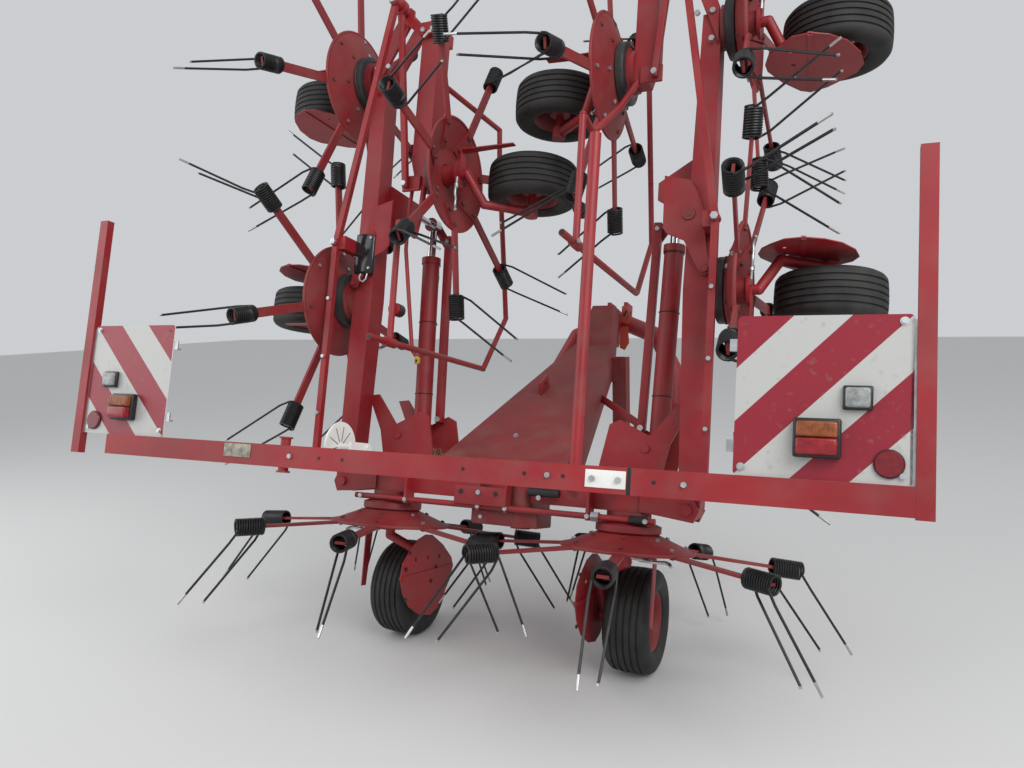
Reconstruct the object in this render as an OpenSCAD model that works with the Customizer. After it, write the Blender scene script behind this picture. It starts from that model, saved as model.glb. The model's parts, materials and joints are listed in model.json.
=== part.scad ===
/* [Posture] */
// Forward lean of the parked machine, in degrees
lean = 13; // [8:1:14]
// Middle of the parked machine ahead of the wheels' contact
middle_y = 327.3; // [300:0.1:360]

/* [Wheels] */
// Radius of the tyres
wheel_r = 205; // [195:1:215]
// Width of a tyre
wheel_w = 185; // [165:5:195]
// Radius of the rim's edge
rim_r = 112; // [95:1:125]
// Radius of the axle stubs
axle_r = 17; // [12:1:22]

/* [Rotors] */
// Distance between two rotor axes
rotor_pitch = 1060; // [1040:10:1120]
// Rotor axes against the wheel axles, minus is behind
rotor_y = -200; // [-210:5:-190]
// Rim of a rotor's dish above the axles
disc_z = 290; // [280:5:300]
// Radius of a rotor's dish
disc_r = 250; // [220:5:270]
// Tine arms on a rotor
arm_count = 7; // [6:1:7]
// Distance of a tine holder from its rotor's axis
holder_r = 600; // [580:5:620]
// Tips of the outer wires below the rotor's dish
tine_drop = 322; // [280:2:326]
// Radius of the circle of the outer wires' tips
tip_r = 840; // [800:5:850]
// Diameter of the tine wire
tine_d = 9.5; // [8:0.5:12]

/* [Wing frame] */
// Fold pivot of a wing from the machine's middle
pivot_x = 760; // [755:5:790]
// Fold pivot of a wing above the axles
pivot_z = 455; // [450:5:470]
// Thickness of the wing arms
arm_h = 90; // [80:5:96]
// Width of the wing arms
arm_w = 100; // [90:5:110]
// Outer hinge beyond the third rotor, left wing
hinge_left = 283; // [270:1:300]
// Outer hinge beyond the third rotor, right wing
hinge_right = 463; // [450:1:480]
// Outer hinge above the fold pivot's level
hinge_rise = 125; // [120:1:140]
// Radius of the big hinge pins
pin_r = 20; // [16:1:24]

/* [Fold cylinders] */
// Foot pin from the machine's middle
foot_x = 567; // [555:1:580]
// Foot pin above the axles
foot_z = 675; // [660:5:690]
// Rod eye out along the wing from the fold pivot
eye_u = 1260; // [1240:10:1280]
// Rod eye above the fold pivot's level, wing down
eye_v = 160; // [150:5:180]
// Cylinder line against the wheel axles, plus is ahead
cyl_y = 60; // [40:5:80]
// Outside radius of a cylinder
cyl_r = 41; // [32:1:45]
// Radius of a piston rod
rod_r = 20; // [14:1:24]

/* [Main frame] */
// Height and depth of the cross beam
beam_h = 110; // [90:5:130]
// Middle of the cross beam above the axles
beam_z = 485; // [480:1:495]
// Apex of the gooseneck ahead of the wheel axles
neck_y = 1140; // [1100:10:1180]
// Apex of the gooseneck above the axles
neck_z = 1465; // [1400:5:1490]

/* [Headstock] */
// Distance between the faces of the two lower pins' carriers
lower_span = 825; // [700:5:870]
// Radius of the lower pins
lower_pin_r = 14; // [11:0.5:18.5]
// Mast height, top bore above the lower pins
mast_h = 610; // [460:10:690]
// Radius of the top bore
top_bore_r = 12.7; // [9.5:0.1:16]
// Radius of the headstock's bent tube
head_tube_r = 48; // [38:1:55]

/* [Rear lighting] */
// Outer faces of the two posts apart
posts_span = 2998; // [2940:2:3000]
// Back face of the warning boards behind the axles
board_y = -1000; // [-1030:5:-990]
// Side of a warning board
board_s = 423; // [400:1:440]
// Gap between a warning board and its post
board_gap = 6; // [4:1:30]
// Bottom edge of the warning boards above the axles
board_z = 585; // [575:5:600]
// Height of the light beam
light_beam_h = 75; // [60:5:80]
// Depth of the light beam
light_beam_d = 40; // [30:5:50]

/* [Hidden] */
$fn = 32;

red = [0.72, 0.10, 0.10];
dark_red = [0.60, 0.09, 0.09];
black = [0.08, 0.08, 0.08];
steel = [0.55, 0.56, 0.58];
zinc = [0.70, 0.71, 0.72];
white = [0.90, 0.90, 0.88];
amber = [0.85, 0.35, 0.08];

// Clearances: a turning pin in its eye, and faces that lie together
running = 0.05;
seat = 0.3;

RIGHT = 1;
LEFT = -1;
axis_x = [0.5, 1.5, 2.5, 3.5] * rotor_pitch;
dish_rise = 52;
dish_t = 6;
drum_r = 125;
drum_bottom = disc_z + dish_rise + dish_t;
drum_top = pivot_z - 67;
collar_r = 46;
flange_z = disc_z - 12;
arm_z = pivot_z;
foot_u = foot_x - pivot_x;
foot_v = foot_z - pivot_z;

// Places
module posture() { translate([0, -middle_y, wheel_r]) rotate([-lean, 0, 0]) children(); }
module on_ground() { translate([0, -middle_y, 0]) children(); }
module side_of(side) {
    if (side == LEFT) mirror([1, 0, 0]) children();
    else children();
}
function outer_hinge_x(side) = axis_x[2] + (side == LEFT ? hinge_left : hinge_right);
function outer_hinge_z() = pivot_z + hinge_rise;
module about_y(x, z, angle) { translate([x, 0, z]) rotate([0, angle, 0]) translate([-x, 0, -z]) children(); }
// A piece drawn in the working position of the right wing, put where it is when folded
module wing_place(side) { posture() side_of(side) about_y(pivot_x, pivot_z, -90) children(); }
module outer_place(side) {
    wing_place(side) about_y(outer_hinge_x(side), outer_hinge_z(), -180) children();
}
// Unit 1 is on the main frame, 2 and 3 on a wing, 4 on its outer section
module unit_place(side, unit) {
    if (unit == 1) posture() side_of(side) translate([axis_x[0], 0, 0]) children();
    else if (unit == 4) outer_place(side) translate([axis_x[3], 0, 0]) children();
    else wing_place(side) translate([axis_x[unit - 1], 0, 0]) children();
}

// Shapes
module rod_between(a, b, r) {
    d = b - a;
    len = norm(d);
    translate(a) rotate([0, acos(d.z / len), atan2(d.y, d.x)]) cylinder(h = len, r = r);
}
module bent_tube(points, r) {
    for (i = [0 : len(points) - 2]) rod_between(points[i], points[i + 1], r);
    for (i = [1 : len(points) - 2]) translate(points[i]) sphere(r = r + 0.4);
}
module across_y(y0, y1, r) { translate([0, y0, 0]) rotate([-90, 0, 0]) cylinder(h = y1 - y0, r = r); }
module across_x(x0, x1, r) { translate([x0, 0, 0]) rotate([0, 90, 0]) cylinder(h = x1 - x0, r = r); }
module plate_y(points, y, t) { translate([0, y + t / 2, 0]) rotate([90, 0, 0]) linear_extrude(t) polygon(points); }

// Wheel: tyre with a round shoulder, dished rim and hub bored for the axle
module wheel_shape() {
    shoulder = 38;
    hub = 45;
    rotate([0, 90, 0]) rotate_extrude($fn = 48) {
        translate([rim_r - 6, -wheel_w / 2 + shoulder]) square([wheel_r - rim_r + 6, wheel_w - 2 * shoulder]);
        translate([rim_r - 6, -wheel_w / 2 + 12]) square([wheel_r - rim_r + 6 - shoulder, wheel_w - 24]);
        for (s = [-1, 1]) translate([wheel_r - shoulder, s * (wheel_w / 2 - shoulder)]) circle(r = shoulder);
        translate([axle_r + running, -12]) square([rim_r - axle_r - running, 24]);
        translate([axle_r + running, -hub]) square([28, 2 * hub]);
    }
}
module wheel(side, unit) { color(black) unit_place(side, unit) wheel_shape(); }

// Rotor: pressed dish with a rolled rim, and the flat arms that follow its underside out to the tines
arm_end = 640;
arm_end_z = -35;
arm_t = 10;
arm_b = 40;
function arm_mid_z(r) = -4 + (arm_end_z + 4) * (r - disc_r) / (arm_end - disc_r);
module rotor_shape(phase) {
    translate([0, rotor_y, disc_z]) {
        rotate_extrude($fn = 64) {
            polygon([[collar_r + 6, dish_rise], [118, dish_rise], [disc_r - 6, 0], [disc_r, 0], [disc_r, dish_t],
                [disc_r - 4, dish_t], [120, dish_rise + dish_t], [collar_r + 6, dish_rise + dish_t]]);
            translate([disc_r, 1]) circle(r = 7, $fn = 20);
        }
        for (k = [0 : arm_count - 1]) rotate([0, 0, phase + k * 360 / arm_count]) arm_shape();
    }
}
module arm_shape() {
    rotate([90, 0, 0]) linear_extrude(arm_b, center = true) polygon([[130, dish_rise - 2], [disc_r - 3, 3],
        [arm_end, arm_end_z + arm_t / 2], [arm_end, arm_end_z - arm_t / 2], [disc_r - 6, -9], [130, dish_rise - 12]]);
}
module rotor(side, unit, phase) { color(red) unit_place(side, unit) rotor_shape(phase); }

// Tines: a hollow coil pushed over the end of each arm, held by its web, with a long and a short wire
coil_r = 36;
coil_bore = 27;
coil_len = 110;
module tine_pair() {
    slope = atan2(-arm_mid_z(arm_end) + arm_mid_z(disc_r), arm_end - disc_r);
    translate([holder_r, 0, arm_mid_z(holder_r)]) rotate([0, slope, 0]) {
        rotate([0, 90, 0]) difference() {
            cylinder(h = coil_len, r = coil_r, center = true);
            for (s = [-1, 1]) translate([0, 0, s * (coil_len / 4 + 8)])
                cylinder(h = coil_len / 2 - 6, r = coil_bore, center = true);
            cube([arm_t + 2 * seat, arm_b + 2 * seat, coil_len], center = true);
        }
    }
    // Outer wire, then inner wire, each from the coil's wall to its tip
    rod_between([holder_r + coil_len / 2 - 8, -coil_r + 5, arm_mid_z(holder_r) - 12], [tip_r, -26, -tine_drop], tine_d / 2);
    rod_between([holder_r - coil_len / 2 + 8, coil_r - 5, arm_mid_z(holder_r) - 12],
        [tip_r - 100, 18, -tine_drop - 6], tine_d / 2);
}
module tines(side, unit, phase) {
    color(black) unit_place(side, unit) translate([0, rotor_y, disc_z])
        for (k = [0 : arm_count - 1]) rotate([0, 0, phase + k * 360 / arm_count]) tine_pair();
}
// Turn of each rotor at rest, units 1 to 4: neighbours mesh, and the second rotors' arms straddle the board's plane
half_pitch = 180 / arm_count;
rest_left = [22 + half_pitch, -5, 22 + half_pitch, -22 + half_pitch];
rest_right = [22, -17, 22, -22];
function phase_of(side, unit) = side == LEFT ? rest_left[unit - 1] : rest_right[unit - 1];

// Hub of one rotor: gear drum under its beam, neck above it and the collar the leg is fixed to
module hub_housing(top) {
    translate([0, rotor_y, 0]) {
        rotate_extrude($fn = 48) polygon([[0, drum_bottom + seat], [drum_r - 10, drum_bottom + seat],
            [drum_r, drum_bottom + 8], [drum_r, drum_top - 8], [drum_r - 22, drum_top], [85, drum_top + 5], [85, top], [0, top]]);
        translate([0, 0, flange_z]) cylinder(h = drum_bottom + 4 - flange_z, r = collar_r);
    }
}
// Wheel leg: flange under the hub, bent tube beside the wheel, axle, leaf-shaped shield and scraper strut
leg_r = 20;
leg_x = wheel_w / 2 + 34;
shield_x = wheel_w / 2 + 58;
knee_y = rotor_y + 60;
knee_z = 170;
module leg_shape(s, shielded) {
    translate([0, rotor_y, flange_z - 12 - seat]) cylinder(h = 12, r = 62);
    bent_tube([[0, rotor_y, flange_z - 6], [0, rotor_y, disc_z - 52], [s * leg_x, knee_y, knee_z], [s * leg_x, 0, 0]], leg_r);
    translate([s * leg_x, 0, 0]) rotate([0, 90, 0]) cylinder(h = 52, r = 30, center = true);
    across_x(min(s * leg_x, -s * (wheel_w / 2 - 40)), max(s * leg_x, -s * (wheel_w / 2 - 40)), axle_r);
    strut_x = s * (wheel_w / 2 + 16);
    translate([-strut_x, 0, 0]) rotate([90, 0, 90]) linear_extrude(5, center = true)
        polygon([[rotor_y - 25, disc_z - 30], [rotor_y + 25, disc_z - 30], [rotor_y + 5, 10], [rotor_y - 25, 10]]);
    translate([min(0, -strut_x), rotor_y - 25, flange_z - 18 - seat]) cube([abs(strut_x), 50, 6]);
    if (shielded) wheel_shield(s);
}
module wheel_shield(s) {
    outline = [[-267, 199], [-324, 143], [-333, 75], [-303, 13], [-244, -46], [-151, -89], [-59, -101], [4, -77],
        [94, 34], [119, 99], [97, 138], [6, 201], [-97, 248], [-150, 252], [-221, 232]];
    difference() {
        union() {
            translate([s * shield_x, 0, 0]) rotate([90, 0, 90]) linear_extrude(4, center = true) polygon(outline);
            translate([s * shield_x, 0, 0]) rotate([90, 0, 90]) linear_extrude(14, center = true) intersection() {
                polygon(outline);
                polygon([[-330, 86], [-325, 70], [110, 96], [105, 108]]);
            }
        }
        for (y = [-220, -120, -20]) translate([s * shield_x, y, 150]) across_x(-20, 20, 9);
    }
    across_x(min(s * leg_x, s * shield_x), max(s * leg_x, s * shield_x), 22);
}

// Main frame
module main_beam() {
    color(red) posture() {
        difference() {
            translate([-pivot_x + 130, rotor_y - beam_h / 2, beam_z - beam_h / 2])
                cube([2 * pivot_x - 260, beam_h, beam_h]);
            translate([-pivot_x, rotor_y - beam_h / 2 + 8, beam_z - beam_h / 2 + 8])
                cube([2 * pivot_x, beam_h - 16, beam_h - 16]);
        }
        for (side = [LEFT, RIGHT]) side_of(side) pivot_clevis();
        cross_rod();
    }
}
// Rod behind the beam between the two wings' pivots, in its four lugs
module cross_rod() {
    rod_y = rotor_y - 100;
    rod_z = beam_z - 82;
    translate([0, rod_y, rod_z]) across_x(-656, 656, 12);
    for (x = [-400, -60, 60, 400]) translate([x - 6, rod_y - 20, rod_z - 16])
        cube([12, 20 + 100 - beam_h / 2 + 2, beam_z - rod_z + 30]);
}
clevis_in = arm_w / 2 + seat;
clevis_t = 15;
module pivot_clevis() {
    for (s = [-1, 1]) translate([0, rotor_y, 0])
        plate_y([[pivot_x - 175, beam_z - 50], [pivot_x + 25, pivot_z - 45], [pivot_x + 45, pivot_z],
            [pivot_x + 25, pivot_z + 40], [pivot_x - 175, beam_z + 50]], s * (clevis_in + clevis_t / 2), clevis_t);
    translate([pivot_x, rotor_y, pivot_z]) across_y(-clevis_in - clevis_t - 12, clevis_in + clevis_t + 12, pin_r);
}
module centre_gearboxes() {
    color(dark_red) posture() for (side = [LEFT, RIGHT]) side_of(side)
        translate([axis_x[0], 0, 0]) hub_housing(beam_z - beam_h / 2 - seat);
}
module input_gearbox() {
    color(dark_red) posture() {
        translate([-110, rotor_y + beam_h / 2 + seat, beam_z - 85]) cube([220, 190, 130]);
        translate([0, rotor_y + beam_h / 2 + 190, beam_z]) across_y(0, 50, 55);
        color(steel) translate([0, rotor_y + beam_h / 2 + 240, beam_z]) across_y(0, 85, 17.4);
    }
}
stand_w = 60;
stand_x = 160;
stand_y = 1070;
stand_top = 820;
module stand_sleeve() {
    outer = stand_w + 14;
    translate([stand_x, stand_y, 0]) difference() {
        union() {
            translate([-outer / 2, -outer / 2, 620]) cube([outer, outer, 560]);
            translate([-stand_x + 60, -45, 1050]) cube([stand_x - 60, 90, 130]);
        }
        translate([-stand_w / 2 - 0.5, -stand_w / 2 - 0.5, 500]) cube([stand_w + 1, stand_w + 1, 900]);
    }
}
// Gooseneck: a folded sheet box, wide on the beam and narrow at its apex
module gooseneck() {
    color(red) {
        posture() neck_shell(560, 120);
        on_ground() stand_sleeve();
    }
}
module neck_shell(base_w, apex_w) {
    knee = [neck_y - 330, neck_z - 330];
    hull() {
        translate([-base_w / 2, rotor_y - 30, beam_z + beam_h / 2 + seat]) cube([base_w, 170, 60]);
        translate([-apex_w / 2 - 40, knee.x, knee.y]) cube([apex_w + 80, 120, 120]);
    }
    hull() {
        translate([-apex_w / 2 - 40, knee.x, knee.y]) cube([apex_w + 80, 120, 120]);
        translate([-apex_w / 2, neck_y - 180, neck_z - 150]) cube([apex_w, 110, 190]);
    }
    for (z = [neck_z - 160, neck_z + 20]) {
        translate([0, neck_y, z]) cylinder(h = 25, r = 50);
        translate([-50, neck_y - 130, z]) cube([100, 130, 25]);
    }
    translate([0, neck_y, neck_z - 175]) cylinder(h = 240, r = 25);
}
// Upright tube behind the folded right wing, clamped to the front of the light beam
module upright_tube() {
    tube_r = 18;
    tube_x = 575;
    tube_h = 1110;
    color(red) posture() {
        translate([tube_x, board_y + seat + tube_r, beam_top - light_beam_h - 25]) cylinder(h = tube_h, r = tube_r);
    }
}
foot_in = cyl_r + 5;
// Fish-tail plates that carry the cylinders' feet, one before the beam and one ahead of the cylinder
module cylinder_feet() {
    base_z = beam_z + beam_h / 2 + seat;
    rear_y = rotor_y + beam_h / 2 + 2;
    front_y = cyl_y + foot_in + 6;
    color(red) posture() for (side = [LEFT, RIGHT]) side_of(side) {
        for (y = [rear_y, front_y]) plate_y([[foot_x - 170, base_z], [foot_x + 60, base_z], [foot_x + 95, foot_z + 20],
            [foot_x + 173, foot_z + 176], [foot_x + 120, foot_z + 182], [foot_x + 16, foot_z + 49],
            [foot_x - 109, foot_z + 109], [foot_x - 150, foot_z + 90], [foot_x - 185, base_z + 60]], y, 12);
        translate([foot_x - 170, rotor_y - 40, base_z]) cube([230, front_y + 6 - rotor_y + 40, 12]);
        translate([foot_x, 0, foot_z]) across_y(rear_y - 14, front_y + 18, 16);
        translate([foot_x, 0, foot_z]) across_y(rear_y, cyl_y - foot_in - seat, 30);
    }
}

// Rear lighting
beam_top = board_z - seat;
light_left = 190 - posts_span / 2;
post_w = 42;
post_d = 30;
post_in = posts_span / 2 - post_w;
board_x = post_in - board_gap - board_s;
post_h = 935;
module light_beam() {
    color(red) posture() difference() {
        translate([light_left, board_y - light_beam_d, beam_top - light_beam_h])
            cube([post_in - seat - light_left, light_beam_d, light_beam_h]);
        translate([light_left - 10, board_y - light_beam_d + 4, beam_top - light_beam_h + 4])
            cube([post_in - light_left + 20, light_beam_d - 8, light_beam_h - 8]);
    }
}
module beam_carriers() {
    color(red) posture() for (side = [LEFT, RIGHT]) side_of(side) {
        translate([470, board_y + seat, beam_top - 70]) cube([60, rotor_y - beam_h / 2 - board_y - 2 * seat, 60]);
    }
}
module beam_posts() {
    color(red) posture() for (side = [LEFT, RIGHT]) side_of(side)
        translate([post_in, board_y - light_beam_d, board_z - 80]) cube([post_w, post_d, post_h]);
}
// Angle straps behind the boards, out to the posts
module board_straps() {
    front = board_y - light_beam_d + 13 + seat;
    strap_len = post_in - seat - board_x + 20;
    color(zinc) posture() for (side = [LEFT, RIGHT], z = [60, 330]) side_of(side) {
        translate([board_x - 20, front, board_z + z]) cube([strap_len, 5, 32]);
        translate([board_x - 20, front, board_z + z]) cube([strap_len, 18, 5]);
    }
}
module warning_boards() {
    color(white) posture() for (side = [LEFT, RIGHT]) side_of(side)
        translate([board_x, board_y - light_beam_d + 10, board_z]) cube([board_s, 3, board_s]);
}
module lamps() {
    color(amber) posture() for (side = [LEFT, RIGHT]) side_of(side) {
        translate([board_x + 150, board_y - light_beam_d - 40, board_z + 60]) cube([110, 50 - seat, 90]);
        translate([board_x + 265, board_y - light_beam_d - 15, board_z + 180]) cube([65, 25 - seat, 60]);
        translate([board_x + 370, board_y - light_beam_d - 10, board_z + 50]) across_y(0, 20 - seat, 36);
    }
}
// Round white disc on its shaft, held ahead of the light beam by a bracket
module turn_disc() {
    disc_y = board_y + 95;
    color(white) posture() {
        translate([0, disc_y, board_z + 9]) across_x(-322, -316, 86);
        translate([0, disc_y, board_z + 9]) across_x(-318, -196, 12);
        translate([-212, board_y + seat, board_z - 50]) cube([8, 110, 76]);
    }
}
module centre_legs() {
    color(red) posture() for (side = [LEFT, RIGHT]) side_of(side) translate([axis_x[0], 0, 0]) leg_shape(-1, true);
}

// Headstock
head_y = neck_y + 110;
module headstock() {
    lower_z = neck_z + 70 - mast_h;
    half = lower_span / 2 - head_tube_r - 8;
    carrier = 2 * (head_tube_r + 8);
    ear_x = 50;
    color(red) posture() difference() {
        union() {
            bent_tube([[-half, head_y, lower_z], [-half, head_y, lower_z + 250], [-half * 0.68, head_y, neck_z - 80],
                [0, head_y, neck_z + 20], [half * 0.68, head_y, neck_z - 80], [half, head_y, lower_z + 250],
                [half, head_y, lower_z]], head_tube_r);
            for (s = [-1, 1]) {
                translate([s * half - carrier / 2, head_y - 60, lower_z - 60]) cube([carrier, 120, 120]);
                translate([s * lower_span / 2, head_y, lower_z]) across_x(s > 0 ? -30 : -90, s > 0 ? 90 : 30, lower_pin_r);
                translate([s * ear_x - 10, head_y - 20, neck_z + 10]) cube([20, 120, 110]);
            }
            translate([0, neck_y, neck_z - 135 + seat]) cylinder(h = 155 - 2 * seat, r = 45);
            translate([-40, neck_y + 30, neck_z - 135 + seat]) cube([80, 60, 155 - 2 * seat]);
        }
        translate([0, neck_y, neck_z - 200]) cylinder(h = 300, r = 25 + running);
        translate([0, head_y + 60, neck_z + 70]) across_x(-100, 100, top_bore_r);
    }
}
module parking_stand() {
    color(red) on_ground() {
        translate([stand_x - stand_w / 2, stand_y - stand_w / 2, 0]) cube([stand_w, stand_w, stand_top]);
        translate([stand_x - 100, stand_y - 90, 0]) cube([200, 180, 10]);
    }
}

// Wing, drawn in the working position of the right wing
module wing_arm(side) {
    hx = outer_hinge_x(side);
    hz = outer_hinge_z();
    color(red) wing_place(side) {
        difference() {
            union() {
                translate([pivot_x, rotor_y, pivot_z]) across_y(-arm_w / 2, arm_w / 2, pin_r + 22);
                translate([0, rotor_y + arm_w / 2, 0]) rotate([90, 0, 0]) linear_extrude(arm_w) polygon([
                    [pivot_x + 10, arm_z - arm_h / 2], [axis_x[2] + 40, arm_z - arm_h / 2], [axis_x[2] + 40, arm_z + 25],
                    [axis_x[1], arm_z + arm_h / 2 + 10], [pivot_x + 10, arm_z + arm_h / 2 - 10]]);
                for (s = [-1, 1]) plate_y([[axis_x[2] - 90, arm_z - 40], [axis_x[2] + 60, arm_z - 40], [hx + 30, hz - 20],
                    [hx + 20, hz + 30], [hx - 30, hz + 30]], rotor_y + s * (arm_w / 2 + 8), 16);
                plate_y([[pivot_x + eye_u - 160, arm_z], [pivot_x + eye_u + 160, arm_z],
                    [pivot_x + eye_u + 35, pivot_z + eye_v + 35], [pivot_x + eye_u - 35, pivot_z + eye_v + 35]],
                    rotor_y + arm_w / 2 + 6, 12);
            }
            translate([pivot_x, rotor_y, pivot_z]) across_y(-arm_w, arm_w, pin_r + running);
            translate([hx, rotor_y, hz]) across_y(-arm_w, arm_w, pin_r + running);
        }
    }
}
module wing_gearboxes(side) {
    color(dark_red) wing_place(side) for (u = [1, 2]) translate([axis_x[u], 0, 0])
        hub_housing(arm_z - arm_h / 2 - seat);
}
module wing_legs(side) {
    color(red) wing_place(side) {
        translate([axis_x[1], 0, 0]) leg_shape(1, true);
        translate([axis_x[2], 0, 0]) leg_shape(-1, true);
    }
}
// Fold linkage of a wing: square rod from beside the fold pivot to a bolted joint and on to the outer hinge
link_y = rotor_y - 170;
link_z = pivot_z - 77;
joint_x = pivot_x + 1059;
module wing_guard(side) {
    hx = outer_hinge_x(side);
    hz = outer_hinge_z();
    half = 13;
    color(red) wing_place(side) {
        translate([pivot_x + 60, link_y - half, link_z - half]) cube([joint_x - pivot_x - 60, 2 * half, 2 * half]);
        square_rod([joint_x - 6, link_z], [hx, hz], link_y, half);
        translate([hx, 0, hz]) across_y(link_y - half - 10, rotor_y - arm_w / 2 - 28.5 - seat, 22);
        for (x = [pivot_x + 75, joint_x]) translate([x, 0, link_z]) across_y(link_y - half - 8, link_y + half + 8, 18);
        for (x = [pivot_x + 75, joint_x]) translate([x - 30, link_y, link_z + 6])
            cube([60, rotor_y - arm_w / 2 - seat - link_y, 40]);
    }
}
// A square rod of the XZ plane from point a to point b
module square_rod(a, b, y, half) {
    d = b - a;
    translate([a.x, y, a.y]) rotate([0, -atan2(d.y, d.x), 0]) translate([0, -half, -half]) cube([norm(d), 2 * half, 2 * half]);
}
module outer_arm(side) {
    hx = outer_hinge_x(side);
    hz = outer_hinge_z();
    color(red) outer_place(side) {
        translate([hx, rotor_y, hz]) across_y(-arm_w / 2 - 28, arm_w / 2 + 28, pin_r);
        for (s = [-1, 1]) plate_y([[hx - 24, hz - 24], [hx + 24, hz - 24], [hx + 120, arm_z - 40], [hx + 120, arm_z + 40],
            [hx + 24, hz + 30], [hx - 24, hz + 30]], rotor_y + s * (arm_w / 2 + 22.5), 12);
        translate([hx + 60, rotor_y - arm_w / 2 - 28, arm_z - arm_h / 2]) cube([60, arm_w + 56, arm_h]);
        translate([0, rotor_y + arm_w / 2, 0]) rotate([90, 0, 0]) linear_extrude(arm_w) polygon([
            [hx + 110, arm_z - arm_h / 2], [axis_x[3] + 60, arm_z - arm_h / 2], [axis_x[3] + 60, arm_z + 10],
            [axis_x[3] - 60, arm_z + arm_h / 2], [hx + 110, arm_z + arm_h / 2]]);
        color(dark_red) translate([axis_x[3], 0, 0]) hub_housing(arm_z - arm_h / 2 + 5);
        end_guard(side);
    }
}
// Tube guard around the last rotor, from the arm round its front corner and out behind it, with its holder.
// The right one is drawn as far as its outer corner.
module end_guard(side) {
    guard_r = 13;
    guard_z = disc_z + 34;
    x4 = axis_x[3];
    front = [[x4 - 470, rotor_y + 30, arm_z - 25], [x4 - 418, 263, guard_z], [x4 - 230, 295, guard_z],
        [x4 + 232, 425, guard_z], [x4 + 510, 500, guard_z]];
    holder = [[x4 + 40, rotor_y - 30, arm_z - 20], [x4 + 200, rotor_y - 120, guard_z + 60],
        [x4 + 356, rotor_y - 250, guard_z], [x4 + 340, -575, guard_z]];
    if (side == LEFT) {
        bent_tube(concat(front, [[x4 + 810, 280, guard_z], [x4 + 830, -710, guard_z]]), guard_r);
        bent_tube(concat(holder, [[x4 + 828, -565, guard_z]]), guard_r);
        translate([x4 + 828, -565, guard_z]) across_y(-35, 35, guard_r + 6);
        translate([x4 + 690, -572, guard_z]) across_y(guard_r - 2, 66, 24);
    } else {
        bent_tube(concat(front, [[x4 + 600, 434, guard_z]]), guard_r);
        bent_tube(concat(holder, [[x4 + 590, -570, guard_z]]), guard_r);
    }
}
module outer_leg(side) {
    color(red) outer_place(side) translate([axis_x[3], 0, 0]) leg_shape(1, false);
}

// Fold cylinder, drawn along +Z from its foot pin and turned to its folded line
eye_folded = [-eye_v, eye_u] - [foot_u, foot_v];
folded_len = norm(eye_folded);
folded_angle = atan2(eye_folded.x, eye_folded.y);
barrel_len = folded_len - 180;
module cylinder_place(side) {
    posture() side_of(side) translate([foot_x, cyl_y, foot_z]) rotate([0, folded_angle, 0]) children();
}
module fold_barrel(side) {
    color(red) cylinder_place(side) difference() {
        union() {
            across_y(-foot_in + seat, foot_in - seat, 32);
            translate([0, 0, 20]) cylinder(h = barrel_len - 20, r = cyl_r);
        }
        across_y(-foot_in - 1, foot_in + 1, 16 + running);
        translate([0, 0, 70]) cylinder(h = barrel_len, r = rod_r + running);
    }
}
module fold_rod(side) {
    gap_y = rotor_y + arm_w / 2 + 12 + seat - cyl_y;
    color(steel) cylinder_place(side) {
        translate([0, 0, folded_len - 760]) cylinder(h = 740, r = rod_r);
        translate([0, 0, folded_len]) across_y(-24, 24, 34);
        translate([0, 0, folded_len]) across_y(gap_y, 30, 16);
    }
}

main_beam();
centre_gearboxes();
input_gearbox();
gooseneck();
upright_tube();
cylinder_feet();
light_beam();
beam_carriers();
beam_posts();
board_straps();
warning_boards();
lamps();
turn_disc();
centre_legs();
headstock();
parking_stand();
wing_arm(LEFT);  // wing_arm_left
wing_gearboxes(LEFT);  // wing_gearboxes_left
wing_legs(LEFT);  // wing_legs_left
wing_guard(LEFT);  // wing_guard_left
wing_arm(RIGHT);  // wing_arm_right
wing_gearboxes(RIGHT);  // wing_gearboxes_right
wing_legs(RIGHT);  // wing_legs_right
wing_guard(RIGHT);  // wing_guard_right
outer_arm(LEFT);  // outer_arm_left
outer_leg(LEFT);  // outer_leg_left
outer_arm(RIGHT);  // outer_arm_right
outer_leg(RIGHT);  // outer_leg_right
fold_barrel(LEFT);  // fold_barrel_left
fold_rod(LEFT);  // fold_rod_left
fold_barrel(RIGHT);  // fold_barrel_right
fold_rod(RIGHT);  // fold_rod_right
rotor(LEFT, 1, phase_of(LEFT, 1));  // rotor_left_1
rotor(LEFT, 2, phase_of(LEFT, 2));  // rotor_left_2
rotor(LEFT, 3, phase_of(LEFT, 3));  // rotor_left_3
rotor(LEFT, 4, phase_of(LEFT, 4));  // rotor_left_4
rotor(RIGHT, 1, phase_of(RIGHT, 1));  // rotor_right_1
rotor(RIGHT, 2, phase_of(RIGHT, 2));  // rotor_right_2
rotor(RIGHT, 3, phase_of(RIGHT, 3));  // rotor_right_3
rotor(RIGHT, 4, phase_of(RIGHT, 4));  // rotor_right_4
tines(LEFT, 1, phase_of(LEFT, 1));  // tines_left_1
tines(LEFT, 2, phase_of(LEFT, 2));  // tines_left_2
tines(LEFT, 3, phase_of(LEFT, 3));  // tines_left_3
tines(LEFT, 4, phase_of(LEFT, 4));  // tines_left_4
tines(RIGHT, 1, phase_of(RIGHT, 1));  // tines_right_1
tines(RIGHT, 2, phase_of(RIGHT, 2));  // tines_right_2
tines(RIGHT, 3, phase_of(RIGHT, 3));  // tines_right_3
tines(RIGHT, 4, phase_of(RIGHT, 4));  // tines_right_4
wheel(LEFT, 1);  // wheel_left_1
wheel(LEFT, 2);  // wheel_left_2
wheel(LEFT, 3);  // wheel_left_3
wheel(LEFT, 4);  // wheel_left_4
wheel(RIGHT, 1);  // wheel_right_1
wheel(RIGHT, 2);  // wheel_right_2
wheel(RIGHT, 3);  // wheel_right_3
wheel(RIGHT, 4);  // wheel_right_4
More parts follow.
